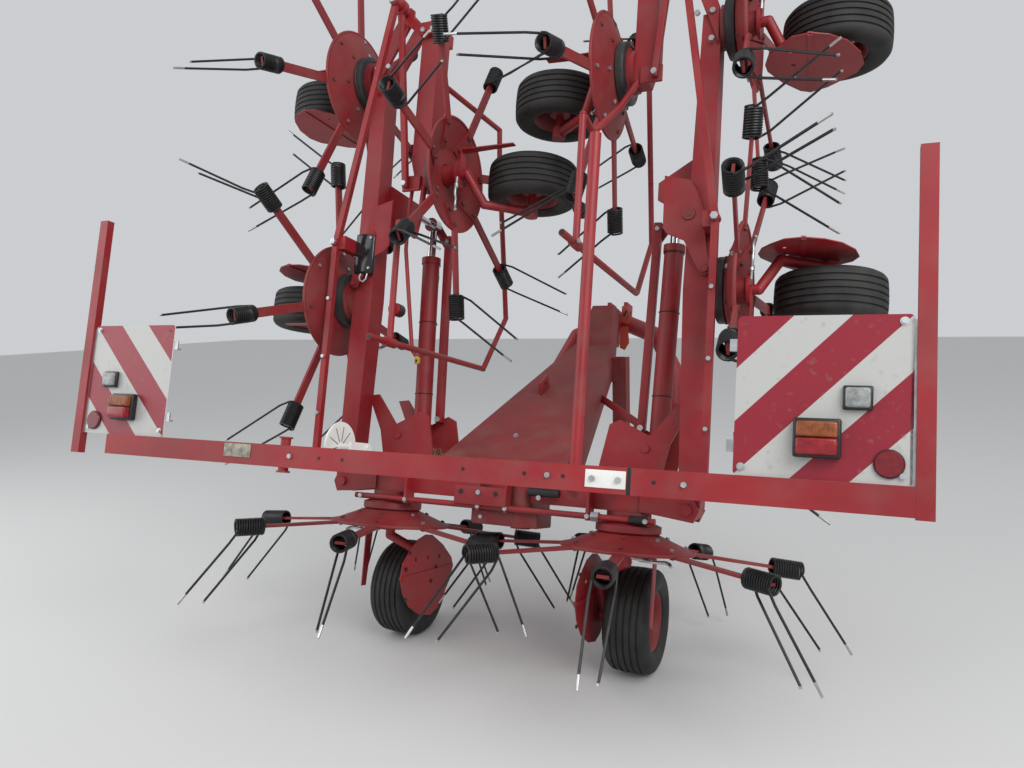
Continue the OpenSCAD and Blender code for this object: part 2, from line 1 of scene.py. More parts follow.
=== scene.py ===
import json
import math
import random

import bmesh
import bpy
from mathutils import Matrix, Vector


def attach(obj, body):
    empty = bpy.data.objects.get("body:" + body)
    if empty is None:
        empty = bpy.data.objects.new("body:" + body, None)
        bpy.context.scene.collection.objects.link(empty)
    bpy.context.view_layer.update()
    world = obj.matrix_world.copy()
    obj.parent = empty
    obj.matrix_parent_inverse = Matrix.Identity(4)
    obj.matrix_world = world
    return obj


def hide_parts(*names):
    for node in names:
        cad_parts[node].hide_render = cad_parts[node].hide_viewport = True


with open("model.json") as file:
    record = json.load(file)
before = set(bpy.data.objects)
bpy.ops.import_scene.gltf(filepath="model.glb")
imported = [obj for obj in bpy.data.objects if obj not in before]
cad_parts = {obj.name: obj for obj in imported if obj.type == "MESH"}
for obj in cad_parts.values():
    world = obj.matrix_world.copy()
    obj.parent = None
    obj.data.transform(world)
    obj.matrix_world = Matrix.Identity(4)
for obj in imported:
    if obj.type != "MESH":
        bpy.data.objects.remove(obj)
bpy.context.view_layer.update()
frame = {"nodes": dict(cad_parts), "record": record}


# Camera: it stands behind the machine, to its right, at eye height.
# Its focal length and turn were solved from the corners and stripes of the two warning boards.
camera_data = bpy.data.cameras.new("camera")
camera_data.sensor_width = 36
camera_data.lens = 780 / 1024 * 36
camera_data.clip_start = 0.05
camera_data.clip_end = 200
camera = bpy.data.objects.new("camera", camera_data)
bpy.context.collection.objects.link(camera)
camera.location = (1.3354, -3.2707, 1.4564)
camera.rotation_euler = (1.472912, 0.022198, 0.422347)
bpy.context.scene.camera = camera

# Floor: a pale plain plane that catches the machine's soft shadows.
# It is not part of the object.
floor_mesh = bpy.data.meshes.new("floor")
floor_mesh.from_pydata([(-30, -30, 0), (30, -30, 0), (30, 30, 0), (-30, 30, 0)], [], [(0, 1, 2, 3)])
floor = bpy.data.objects.new("floor", floor_mesh)
bpy.context.collection.objects.link(floor)
floor_paint = bpy.data.materials.new("floor_paint")
floor_paint.use_nodes = True
floor_paint.node_tree.nodes["Principled BSDF"].inputs["Base Color"].default_value = (0.62, 0.62, 0.61, 1)
floor_paint.node_tree.nodes["Principled BSDF"].inputs["Roughness"].default_value = 0.9
floor_mesh.materials.append(floor_paint)

# Light: an even pale surround with two large soft lamps.
world = bpy.data.worlds.new("world")
world.use_nodes = True
world.node_tree.nodes["Background"].inputs["Color"].default_value = (0.80, 0.82, 0.85, 1)
world.node_tree.nodes["Background"].inputs["Strength"].default_value = 0.75
bpy.context.scene.world = world
for name, place, turn, power, side in (
    ("key", (4.5, -4.0, 5.5), (0.75, 0.0, 0.80), 330, 4.0),
    ("fill", (-5.0, -3.0, 3.5), (1.05, 0.0, -1.0), 150, 5.0),
):
    lamp_data = bpy.data.lights.new(name, "AREA")
    lamp_data.energy = power
    lamp_data.size = side
    lamp = bpy.data.objects.new(name, lamp_data)
    lamp.location = place
    lamp.rotation_euler = turn
    bpy.context.collection.objects.link(lamp)
bpy.context.scene.view_settings.view_transform = "Standard"

# Red paint of the frame: sun-faded over the years, with dust in patches and rust where it has gone.
# Each group of solids has its own shade, so that castings, sheet and tubes differ as they do on the machine.
def worn_paint(name, shade, roughness, dust, rust):
    paint = bpy.data.materials.new(name)
    paint.use_nodes = True
    tree = paint.node_tree
    shader = tree.nodes["Principled BSDF"]
    place = tree.nodes.new("ShaderNodeTexCoord")
    fade = tree.nodes.new("ShaderNodeTexNoise")
    fade.inputs["Scale"].default_value = 3.5
    fade.inputs["Detail"].default_value = 5
    chips = tree.nodes.new("ShaderNodeTexNoise")
    chips.inputs["Scale"].default_value = 38
    chips.inputs["Detail"].default_value = 9
    chips.inputs["Roughness"].default_value = 0.7
    dirt = tree.nodes.new("ShaderNodeTexNoise")
    dirt.inputs["Scale"].default_value = 9
    dirt.inputs["Detail"].default_value = 8
    for noise in (fade, chips, dirt):
        tree.links.new(place.outputs["Object"], noise.inputs["Vector"])
    faded = tree.nodes.new("ShaderNodeValToRGB")
    faded.color_ramp.elements[0].position = 0.35
    faded.color_ramp.elements[0].color = (shade[0] * 0.72, shade[1] * 0.8, shade[2] * 0.8, 1)
    faded.color_ramp.elements[1].position = 0.7
    faded.color_ramp.elements[1].color = (*shade, 1)
    tree.links.new(fade.outputs["Fac"], faded.inputs["Fac"])
    gone = tree.nodes.new("ShaderNodeMapRange")
    gone.inputs["From Min"].default_value = 0.70 - rust
    gone.inputs["From Max"].default_value = 0.73 - rust
    tree.links.new(chips.outputs["Fac"], gone.inputs["Value"])
    rusty = tree.nodes.new("ShaderNodeMixRGB")
    rusty.inputs["Color2"].default_value = (0.085, 0.035, 0.022, 1)
    tree.links.new(gone.outputs["Result"], rusty.inputs["Fac"])
    tree.links.new(faded.outputs["Color"], rusty.inputs["Color1"])
    settled = tree.nodes.new("ShaderNodeMapRange")
    settled.inputs["From Min"].default_value = 0.42
    settled.inputs["From Max"].default_value = 0.75
    settled.inputs["To Max"].default_value = dust
    tree.links.new(dirt.outputs["Fac"], settled.inputs["Value"])
    dusty = tree.nodes.new("ShaderNodeMixRGB")
    dusty.inputs["Color2"].default_value = (0.18, 0.120, 0.095, 1)
    tree.links.new(settled.outputs["Result"], dusty.inputs["Fac"])
    tree.links.new(rusty.outputs["Color"], dusty.inputs["Color1"])
    tree.links.new(dusty.outputs["Color"], shader.inputs["Base Color"])
    shine = tree.nodes.new("ShaderNodeMapRange")
    shine.inputs["To Min"].default_value = roughness - 0.08
    shine.inputs["To Max"].default_value = roughness + 0.30
    tree.links.new(dirt.outputs["Fac"], shine.inputs["Value"])
    tree.links.new(shine.outputs["Result"], shader.inputs["Roughness"])
    relief = tree.nodes.new("ShaderNodeBump")
    relief.inputs["Strength"].default_value = 0.12
    relief.inputs["Distance"].default_value = 0.002
    tree.links.new(chips.outputs["Fac"], relief.inputs["Height"])
    tree.links.new(relief.outputs["Normal"], shader.inputs["Normal"])
    return paint


def plain_material(name, colour, roughness, metallic=0.0, mottle=0.25, scale=25.0):
    paint = bpy.data.materials.new(name)
    paint.use_nodes = True
    tree = paint.node_tree
    shader = tree.nodes["Principled BSDF"]
    place = tree.nodes.new("ShaderNodeTexCoord")
    noise = tree.nodes.new("ShaderNodeTexNoise")
    noise.inputs["Scale"].default_value = scale
    noise.inputs["Detail"].default_value = 6
    tree.links.new(place.outputs["Object"], noise.inputs["Vector"])
    ramp = tree.nodes.new("ShaderNodeValToRGB")
    ramp.color_ramp.elements[0].position = 0.3
    ramp.color_ramp.elements[0].color = (*[c * (1 - mottle) for c in colour], 1)
    ramp.color_ramp.elements[1].position = 0.7
    ramp.color_ramp.elements[1].color = (*[min(1, c * (1 + mottle)) for c in colour], 1)
    tree.links.new(noise.outputs["Fac"], ramp.inputs["Fac"])
    tree.links.new(ramp.outputs["Color"], shader.inputs["Base Color"])
    shader.inputs["Roughness"].default_value = roughness
    shader.inputs["Metallic"].default_value = metallic
    return paint


frame_red = worn_paint("frame_red", (0.32, 0.012, 0.018), 0.40, 0.25, 0.02)
sheet_red = worn_paint("sheet_red", (0.235, 0.022, 0.024), 0.55, 0.40, 0.05)
cast_red = worn_paint("cast_red", (0.24, 0.012, 0.017), 0.45, 0.38, 0.05)
rotor_red = worn_paint("rotor_red", (0.27, 0.016, 0.020), 0.50, 0.28, 0.07)
zinc = plain_material("zinc", (0.50, 0.51, 0.52), 0.45, 0.85)
chrome = plain_material("chrome", (0.55, 0.55, 0.57), 0.18, 1.0, 0.1)
white_sheet = plain_material("white_sheet", (0.74, 0.74, 0.70), 0.45, 0.0, 0.08, 12.0)

node_coats = {"gooseneck": sheet_red, "board_straps": zinc, "turn_disc": white_sheet,
              "fold_rod_left": chrome, "fold_rod_right": chrome}
for name, node in frame["nodes"].items():
    coat = node_coats.get(name, frame_red)
    if "gearbox" in name:
        coat = cast_red
    if name.startswith("rotor"):
        coat = rotor_red
    node.data.materials.clear()
    node.data.materials.append(coat)


# Frame of the machine: it leans forward about its wheels, and its measures are turned into the shared frame.
# They are metres from the middle of the wheels' axle line, to the right, ahead and up.
lean = math.radians(13)
wheel_radius = 0.205
axle_y = -0.3273
to_shared = Matrix.Translation((0, axle_y, wheel_radius)) @ Matrix.Rotation(-lean, 4, "X")
rear = Matrix.Rotation(math.radians(90), 4, "X")
joints = {j["name"]: j for j in frame["record"]["behaviour"]["joints"]}


# Place of a piece that stands square to the machine.
def at(x, y, z):
    return to_shared @ Matrix.Translation((x, y, z))


def point(x, y, z):
    return to_shared @ Vector((x, y, z))


# Distance of a rotor's axis from the middle, in the working position.
first_axis = 0.530
axis_step = 1.060


def axis_x(unit):
    return first_axis + axis_step * (unit - 1)


def finish_piece(name, mesh, coats, body, smooth=True, stands_for=()):
    piece = bpy.data.objects.new(name, bpy.data.meshes.new(name))
    bmesh.ops.recalc_face_normals(mesh, faces=mesh.faces)
    mesh.to_mesh(piece.data)
    mesh.free()
    for coat in coats:
        piece.data.materials.append(coat)
    if smooth:
        piece.data.shade_smooth()
        piece.data.set_sharp_from_angle(angle=math.radians(38))
    bpy.context.collection.objects.link(piece)
    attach(piece, body)
    if stands_for:
        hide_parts(*stands_for)
    return piece


def axis_frame(position, axis, toward=(0.0, 1.0, 0.0)):
    a = Vector(axis).normalized()
    t = Vector(toward)
    if abs(a.dot(t)) > 0.9:
        t = Vector((0.0, 0.0, 1.0))
    x = (t - a * a.dot(t)).normalized()
    y = a.cross(x)
    place = Matrix((x, y, a)).transposed().to_4x4()
    place.translation = Vector(position)
    return place


# Turned shapes: a profile of radius and height along the axis, spun once around it.
def lathe(mesh, place, profile, coat=0, steps=64, closed=True):
    first_vert, first_face = len(mesh.verts), len(mesh.faces)
    ring = [mesh.verts.new(Vector((r, 0, w))) for r, w in profile]
    ahead = ring[1:] + ring[:1] if closed else ring[1:]
    line = [mesh.edges.new((a, b)) for a, b in zip(ring, ahead)]
    bmesh.ops.spin(mesh, geom=ring + line, cent=(0, 0, 0), axis=(0, 0, 1), angle=math.tau, steps=steps,
                   use_merge=True)
    bmesh.ops.transform(mesh, matrix=place, verts=list(mesh.verts)[first_vert:])
    for face in list(mesh.faces)[first_face:]:
        face.material_index = coat


# Bolt heads and nuts: a hexagon of a given size across its flats.
def hexagon(mesh, place, across, height, coat=0):
    radius = across / 1.732
    middle = place @ Matrix.Translation((0, 0, height / 2))
    made = bmesh.ops.create_cone(mesh, cap_ends=True, segments=6, radius1=radius, radius2=radius,
                                 depth=height, matrix=middle)
    for face in {f for v in made["verts"] for f in v.link_faces}:
        face.material_index = coat


# Wheels: small implement tyres with five grooves around the tread, on dished steel rims with a bolted hub.
# The black rubber is dusty. Each wheel turns on its leg's axle.
rubber = plain_material("rubber", (0.020, 0.019, 0.018), 0.75, 0.0, 0.5, 14.0)
for side in ("left", "right"):
    for unit in (1, 2, 3, 4):
        name = f"wheel_{side}_{unit}"
        place = axis_frame(joints[name]["pos_m"], joints[name]["axis"])
        sidewall = [(0.112, -0.062), (0.118, -0.078), (0.135, -0.088), (0.158, -0.0925), (0.178, -0.090),
                    (0.192, -0.082), (0.2005, -0.070)]
        profile = list(sidewall)
        tread = 0.064
        crown = 0.00315
        groove = 0.006
        for g in range(5):
            middle = -tread + (g + 0.5) * 2 * tread / 5
            for step, depth in ((-0.0128, 0), (-0.0045, 0), (-0.0030, groove),
                                (0.0030, groove), (0.0045, 0), (0.0128, 0)):
                w = middle + step
                profile.append((wheel_radius - depth - crown * (w / tread) ** 2, w))
        profile += [(r, -w) for r, w in reversed(sidewall)]
        tyre = bmesh.new()
        lathe(tyre, place, profile, 0, 72, False)
        finish_piece(f"tyre_{side}_{unit}", tyre, [rubber], name, True, (name,))
        rim = bmesh.new()
        section = [(0.112, -0.070), (0.119, -0.074), (0.121, -0.068), (0.112, -0.060), (0.100, -0.040),
                   (0.098, 0.0), (0.100, 0.040), (0.112, 0.060), (0.121, 0.068), (0.119, 0.074),
                   (0.112, 0.070), (0.104, 0.058), (0.094, 0.040), (0.092, 0.006), (0.075, 0.012),
                   (0.050, 0.004), (0.046, 0.040), (0.0175, 0.045), (0.0175, -0.045), (0.046, -0.040),
                   (0.050, -0.004), (0.075, 0.004), (0.092, -0.002), (0.094, -0.040), (0.104, -0.058)]
        lathe(rim, place, section, 0, 48)
        bolt_circle = 0.062
        for k in range(4):
            turn = place @ Matrix.Rotation(k * math.tau / 4 + 0.4, 4, "Z")
            for height in (0.006, -0.012):
                hexagon(rim, turn @ Matrix.Translation((bolt_circle, 0, height)), 0.017, 0.010, 1)
        finish_piece(f"rim_{side}_{unit}", rim, [cast_red, zinc], name)


# Wires, hoses and bent bars: a round section carried along a line of points.
def tube(mesh, points, radius, sides=12, coat=0, closed_ends=True):
    points = [Vector(p) for p in points]
    rings = []
    side = None
    for i, p in enumerate(points):
        ahead = points[min(i + 1, len(points) - 1)] - points[max(i - 1, 0)]
        ahead.normalize()
        if side is None:
            guess = Vector((0, 0, 1)) if abs(ahead.z) < 0.9 else Vector((1, 0, 0))
            side = (guess - ahead * guess.dot(ahead)).normalized()
        else:
            side = (side - ahead * side.dot(ahead)).normalized()
        other = ahead.cross(side)
        ring = []
        for k in range(sides):
            a = k * math.tau / sides
            ring.append(mesh.verts.new(p + (side * math.cos(a) + other * math.sin(a)) * radius))
        rings.append(ring)
    for a, b in zip(rings, rings[1:]):
        for k in range(sides):
            mesh.faces.new((a[k], a[(k + 1) % sides], b[(k + 1) % sides], b[k])).material_index = coat
    if closed_ends:
        mesh.faces.new(rings[0]).material_index = coat
        mesh.faces.new(rings[-1]).material_index = coat


# Blocks and sheets: a box of a given size, with rounded edges where a radius is given.
def brick(mesh, place, size, coat=0, rounding=0.0):
    made = bmesh.ops.create_cube(mesh, size=1, matrix=place @ Matrix.Diagonal((*size, 1)))
    faces = list(dict.fromkeys(f for v in made["verts"] for f in v.link_faces))
    for face in faces:
        face.material_index = coat
    if rounding:
        edges = list(dict.fromkeys(e for f in faces for e in f.edges))
        bmesh.ops.bevel(mesh, geom=edges, offset=rounding, segments=3, profile=0.5, affect="EDGES",
                        material=-1)


# Place of a rotor: at its joint, its first axis pointing away from the gear housing's neighbour.
def spinner_place(side, unit):
    outward = {1: Vector((1, 0, 0)), 2: Vector((0, 0, 1)), 3: Vector((0, 0, 1)), 4: Vector((0, 0, -1))}[unit]
    if side == "left" and unit == 1:
        outward = Vector((-1, 0, 0))
    lean_turn = Matrix.Rotation(-lean, 3, "X")
    joint = joints[f"rotor_{side}_{unit}"]
    axis = Vector(joint["axis"]).normalized()
    place = Matrix((lean_turn @ outward, lean_turn @ Vector((0, 1, 0)), axis)).transposed().to_4x4()
    place.translation = Vector(joint["pos_m"])
    return place


# Tines: each arm carries a torsion spring wound tight around its end, with a long and a short wire down.
# Black spring steel, bright at the tips where the crop has polished it.
rest_turns = {"left": (22 + 180 / 7, -5, 22 + 180 / 7, -22 + 180 / 7), "right": (22, -17, 22, -22)}
black_steel = plain_material("black_steel", (0.014, 0.014, 0.015), 0.42, 0.3, 0.4)
polished = plain_material("polished_tip", (0.42, 0.41, 0.40), 0.35, 0.9)
arm_slope = math.atan2(0.031, 0.390)
wire = 0.00475
coil = 0.0312
coil_length = 0.109
turns = 11.5
for side in ("left", "right"):
    for unit in (1, 2, 3, 4):
        springs = bmesh.new()
        for k in range(7):
            turn = Matrix.Rotation(math.radians(rest_turns[side][unit - 1] + k * 360 / 7), 4, "Z")
            arm_end = turn @ Matrix.Translation((0.600, 0, -0.0318)) @ Matrix.Rotation(arm_slope, 4, "Y")
            path = []
            for i in range(int(turns * 16) + 1):
                a = i / 16 * math.tau
                along_coil = (i / (turns * 16) - 0.5) * coil_length
                path.append(arm_end @ Vector((along_coil, coil * math.cos(a), coil * math.sin(a))))
            tube(springs, path, wire, 6)
            long_wire = [turn @ Vector(p) for p in ((0.545, 0.031, -0.040), (0.566, 0.032, -0.085),
                                                    (0.738, 0.018, -0.320), (0.740, 0.018, -0.328))]
            short_wire = [turn @ Vector(p) for p in ((0.650, -0.031, -0.048), (0.678, -0.034, -0.092),
                                                     (0.815, -0.028, -0.285), (0.840, -0.026, -0.322))]
            for start, line in ((path[0], long_wire), (path[-1], short_wire)):
                tube(springs, [start, *line[:3]], wire, 8)
                tube(springs, line[2:], wire, 8, 1)
            brick(springs, arm_end, (0.030, 0.050, 0.022))
        bmesh.ops.transform(springs, matrix=spinner_place(side, unit), verts=springs.verts)
        finish_piece(f"springs_{side}_{unit}", springs, [black_steel, polished], f"spinner_{side}_{unit}",
                     True, (f"tines_{side}_{unit}",))


# Round parts: a cylinder, or a cone where the top radius is given.
def barrel(mesh, place, radius, height, coat=0, segments=28, top=None):
    made = bmesh.ops.create_cone(mesh, cap_ends=True, segments=segments, radius1=radius,
                                 radius2=radius if top is None else top, depth=height,
                                 matrix=place @ Matrix.Translation((0, 0, height / 2)))
    for face in {f for v in made["verts"] for f in v.link_faces}:
        face.material_index = coat


# Warning boards: white sheet with three stripes of 141 mm on each edge, rounded corners and bolts.
# The right board's stripes rise to the right, the left board's to the left. The sheet is scuffed and dusty.
stripe = 0.141
reflective = bpy.data.materials.new("striped_sheet")
reflective.use_nodes = True
tree = reflective.node_tree
shader = tree.nodes["Principled BSDF"]
shader.inputs["Roughness"].default_value = 0.38
uv = tree.nodes.new("ShaderNodeUVMap")
uv.uv_map = "board"
split = tree.nodes.new("ShaderNodeSeparateXYZ")
tree.links.new(uv.outputs["UV"], split.inputs["Vector"])
add = tree.nodes.new("ShaderNodeMath")
add.operation = "ADD"
tree.links.new(split.outputs["X"], add.inputs[0])
tree.links.new(split.outputs["Y"], add.inputs[1])
wrap = tree.nodes.new("ShaderNodeMath")
wrap.operation = "MODULO"
wrap.inputs[1].default_value = 2 * stripe
tree.links.new(add.outputs["Value"], wrap.inputs[0])
white_part = tree.nodes.new("ShaderNodeMath")
white_part.operation = "GREATER_THAN"
white_part.inputs[1].default_value = stripe
tree.links.new(wrap.outputs["Value"], white_part.inputs[0])
pick = tree.nodes.new("ShaderNodeMixRGB")
pick.inputs["Color1"].default_value = (0.25, 0.010, 0.024, 1)
pick.inputs["Color2"].default_value = (0.46, 0.46, 0.44, 1)
tree.links.new(white_part.outputs["Value"], pick.inputs["Fac"])
grime = tree.nodes.new("ShaderNodeTexNoise")
grime.inputs["Scale"].default_value = 48
grime.inputs["Detail"].default_value = 10
place_node = tree.nodes.new("ShaderNodeTexCoord")
tree.links.new(place_node.outputs["Object"], grime.inputs["Vector"])
scuffed = tree.nodes.new("ShaderNodeMapRange")
scuffed.inputs["From Min"].default_value = 0.60
scuffed.inputs["From Max"].default_value = 0.80
scuffed.inputs["To Max"].default_value = 0.45
tree.links.new(grime.outputs["Fac"], scuffed.inputs["Value"])
soiled = tree.nodes.new("ShaderNodeMixRGB")
soiled.inputs["Color2"].default_value = (0.20, 0.17, 0.13, 1)
tree.links.new(scuffed.outputs["Result"], soiled.inputs["Fac"])
tree.links.new(pick.outputs["Color"], soiled.inputs["Color1"])
tree.links.new(soiled.outputs["Color"], shader.inputs["Base Color"])
boards = bmesh.new()
board_uv = boards.loops.layers.uv.new("board")
board_in = 1.028
board_low = 0.585
board_side = 0.423
board_back = -1.030
corner = 0.012
for sign in (-1, 1):
    outline = []
    far_corner = board_side - corner
    for cx, cz, start in ((corner, corner, 180), (far_corner, corner, 270), (far_corner, far_corner, 0),
                          (corner, far_corner, 90)):
        for k in range(7):
            a = math.radians(start + 15 * k)
            outline.append((cx + corner * math.cos(a), cz + corner * math.sin(a)))
    rings = []
    for y in (board_back, board_back + 0.003):
        ring = [boards.verts.new(Vector((sign * (board_in + u), y, board_low + v))) for u, v in outline]
        face = boards.faces.new(ring)
        for loop, (u, v) in zip(face.loops, outline):
            loop[board_uv].uv = (u, board_side - v)
        rings.append(ring)
    for k in range(len(outline)):
        n = (k + 1) % len(outline)
        boards.faces.new((rings[0][k], rings[0][n], rings[1][n], rings[1][k])).material_index = 1
bmesh.ops.transform(boards, matrix=to_shared, verts=boards.verts)
finish_piece("striped_boards", boards, [reflective, white_sheet], "root", False, ("warning_boards",))
rusty_bolt = worn_paint("rusty_bolt", (0.17, 0.022, 0.020), 0.55, 0.55, 0.12)
board_bolts = bmesh.new()
for sign in (-1, 1):
    for u, v in ((0.020, 0.022), (0.400, 0.405), (0.400, 0.022)):
        head = to_shared @ axis_frame((sign * (board_in + u), board_back, board_low + v), (0, -1, 0))
        barrel(board_bolts, head, 0.011, 0.0015)
        hexagon(board_bolts, head @ Matrix.Translation((0, 0, 0.0015)), 0.013, 0.006)
    rivet = to_shared @ axis_frame((sign * (board_in + 0.022), board_back, board_low + 0.400), (0, -1, 0))
    barrel(board_bolts, rivet, 0.0045, 0.0012, 1, 16)
finish_piece("board_bolts", board_bolts, [zinc, rusty_bolt], "root", False)


# Lamps: on each board a two-part lamp, amber over red in a black housing, a small clear lamp and a reflector.
# The lenses are plastic dulled by dust, the amber one with upright ribs.
amber_lens = plain_material("amber_lens", (0.24, 0.065, 0.018), 0.30, 0.0, 0.35, 60.0)
red_lens = plain_material("red_lens", (0.24, 0.010, 0.016), 0.28, 0.0, 0.35, 60.0)
clear_lens = plain_material("clear_lens", (0.27, 0.28, 0.275), 0.22, 0.0, 0.35, 60.0)
reflector_red = plain_material("reflector_red", (0.16, 0.008, 0.014), 0.35, 0.0, 0.25, 90.0)
black_plastic_and_painted_shade = plain_material("black_plastic_and_painted_shade", (0.012, 0.012, 0.013), 0.38)
lamps = bmesh.new()
for sign in (-1, 1):
    x = sign * (board_in + 0.205)
    brick(lamps, at(x, -1.0435, 0.690), (0.114, 0.026, 0.100), 0, 0.006)
    brick(lamps, at(x, -1.0625, 0.711), (0.098, 0.030, 0.040), 1, 0.007)
    brick(lamps, at(x, -1.0625, 0.668), (0.098, 0.034, 0.042), 2, 0.007)
    for k in range(9):
        brick(lamps, at(x - 0.040 + k * 0.010, -1.0775, 0.711), (0.003, 0.002, 0.030), 1)
    x = sign * (board_in + 0.2975)
    brick(lamps, at(x, -1.0375, 0.795), (0.070, 0.014, 0.062), 0, 0.005)
    brick(lamps, at(x, -1.0490, 0.795), (0.058, 0.016, 0.050), 3, 0.006)
    place = to_shared @ axis_frame((sign * (board_in + 0.370), -1.0305, 0.635), (0, -1, 0))
    barrel(lamps, place, 0.036, 0.005, 0, 40)
    barrel(lamps, place @ Matrix.Translation((0, 0, 0.005)), 0.034, 0.005, 4, 40, 0.031)
finish_piece("lamp_bodies", lamps, [black_plastic_and_painted_shade, amber_lens, red_lens, clear_lens, reflector_red], "root",
             True, ("lamps",))


# Light beam: a joint under a blank white plate, a dull grey plate on the left, and a pin through the beam.
# Bolts show along its back face, and its open holes are thin black discs of painted shade.
beam_back = -1.0402
beam_y = -1.020
beam_z = 0.549
pin_x = -0.460
dull_plate = plain_material("dull_plate", (0.27, 0.255, 0.21), 0.60, 0.3, 0.55, 45.0)
beam_trim = bmesh.new()
brick(beam_trim, at(0.686, beam_back - 0.001, beam_z), (0.118, 0.003, 0.050), 0, 0.0012)
for x in (0.648, 0.724):
    hexagon(beam_trim, at(x, beam_back - 0.002, beam_z) @ rear, 0.016, 0.007, 1)
brick(beam_trim, at(-0.652, beam_back - 0.001, 0.557), (0.120, 0.002, 0.046), 4, 0.0008)
brick(beam_trim, at(0.753, beam_y, 0.5472), (0.012, 0.0424, 0.0775), 2, 0.002)
for z, radius, height in ((0.496, 0.017, 0.118), (0.492, 0.023, 0.006), (0.608, 0.023, 0.006)):
    barrel(beam_trim, at(pin_x, beam_y, z), radius, height, 3)
# Open holes in the back face: thin black discs that paint the shade inside the beam.
for x in (-0.300, -0.207, 0.238, 0.440, 0.560, 0.823):
    barrel(beam_trim, at(x, beam_back + 0.001, beam_z) @ rear, 0.006, 0.0015, 2)
for x in (0.513, -0.420, 0.905):
    hexagon(beam_trim, at(x, beam_back, beam_z) @ rear, 0.015, 0.007, 1)
finish_piece("beam_trim", beam_trim, [white_sheet, zinc, black_plastic_and_painted_shade, frame_red, dull_plate], "root")
strips = bmesh.new()
for sign in (-1, 1):
    brick(strips, at(sign * 1.250, -1.0245, 0.5925), (0.330, 0.003, 0.015))
    brick(strips, at(sign * 1.450, -1.0285, 0.790), (0.013, 0.003, 0.410))
finish_piece("board_strips", strips, [zinc], "root", False)


# Cross rod behind the main beam: bolts through its lugs, the middle plate and a clamp at its right end.
# Under the beam, ahead of the rod, are the red centre casting with its round boss and a short black shaft.
rod_trim = bmesh.new()
along = Matrix.Rotation(math.radians(90), 4, "Y")
rod_y = -0.300
rod_z = 0.403
lug_back = -0.3125
boss_x = 0.100
boss_y = -0.2410
for x in (-0.623, -0.400, -0.060, 0.060, 0.400, 0.623):
    hexagon(rod_trim, at(x, lug_back, rod_z) @ rear, 0.017, 0.010, 0)
barrel(rod_trim, at(0.150, -0.2930, 0.476) @ along, 0.0165, 0.125, 1)
hexagon(rod_trim, at(0.198, -0.3085, 0.456) @ rear, 0.018, 0.008, 0)
barrel(rod_trim, at(boss_x, boss_y, 0.332), 0.045, 0.160, 3, 40)
barrel(rod_trim, at(boss_x, boss_y, 0.326), 0.040, 0.006, 3, 40)
brick(rod_trim, at(0.040, -0.2000, 0.3700), (0.290, 0.160, 0.0760), 3, 0.006)
hexagon(rod_trim, at(-0.060, -0.2800, 0.360) @ rear, 0.015, 0.006, 0)
barrel(rod_trim, at(0.412, rod_y, rod_z) @ along, 0.020, 0.030, 0, 6)
barrel(rod_trim, at(0.560, rod_y, rod_z) @ along, 0.017, 0.070, 1)
brick(rod_trim, at(-0.050, -0.323, 0.444), (0.230, 0.006, 0.074), 2, 0.0025)
# Two thin black discs on the middle plate are its open holes, painted as shade.
for x in (-0.135, 0.020):
    barrel(rod_trim, at(x, -0.3255, 0.456) @ rear, 0.010, 0.002, 1)
hexagon(rod_trim, at(-0.055, -0.3260, 0.458) @ rear, 0.018, 0.008, 0)
finish_piece("cross_rod_trim", rod_trim, [zinc, black_plastic_and_painted_shade, frame_red, cast_red], "root")


# Fold cylinders: gland nut at the rod's end, ports with plated fittings, and a black hose tied to the barrel.
# The hose is clipped at both ends, so it lies along the barrel.
for side, sign in (("left", -1), ("right", 1)):
    foot = Vector((sign * 0.567, 0.060, 0.675))
    eye = Vector((sign * 0.600, 0.060, 1.715))
    run = (eye - foot).normalized()
    place = to_shared @ axis_frame(foot, run)
    ahead = Matrix.Rotation(math.radians(90), 4, "Y")
    barrel_r = 0.0425
    port_out = 0.036
    trim = bmesh.new()
    barrel(trim, place @ Matrix.Translation((0, 0, 0.845)), 0.046, 0.030, 0, 40)
    barrel(trim, place @ Matrix.Translation((0, 0, 0.055)), 0.0435, 0.012, 0, 40)
    for height in (0.285, 0.820):
        barrel(trim, place @ Matrix.Translation((port_out, 0, height)) @ ahead, 0.013, 0.026, 1, 20)
    for height in ((0.210, 0.556, 0.848) if side == "left" else (0.228, 0.584, 0.840)):
        band = []
        for k in range(33):
            a = k * math.tau / 32
            reach = barrel_r
            if math.cos(a) > 0.75 and height > 0.300:
                reach += 0.021 * (math.cos(a) - 0.75) / 0.25
            band.append(place @ Vector((reach * math.cos(a), reach * math.sin(a), height)))
        tube(trim, band, 0.0024, 6, 2)
    hose = [place @ Vector(p) for p in ((0.062, 0, 0.820), (0.070, 0, 0.800), (0.066, 0, 0.770),
                                        (0.054, 0, 0.735), (0.0515, 0, 0.690), (0.0515, 0, 0.530),
                                        (0.0515, 0, 0.380), (0.053, 0, 0.340), (0.062, 0.008, 0.310),
                                        (0.066, 0.010, 0.290))]
    tube(trim, hose, 0.0085, 12, 2)
    finish_piece(f"cylinder_trim_{side}", trim, [frame_red, zinc, black_plastic_and_painted_shade], f"barrel_{side}")


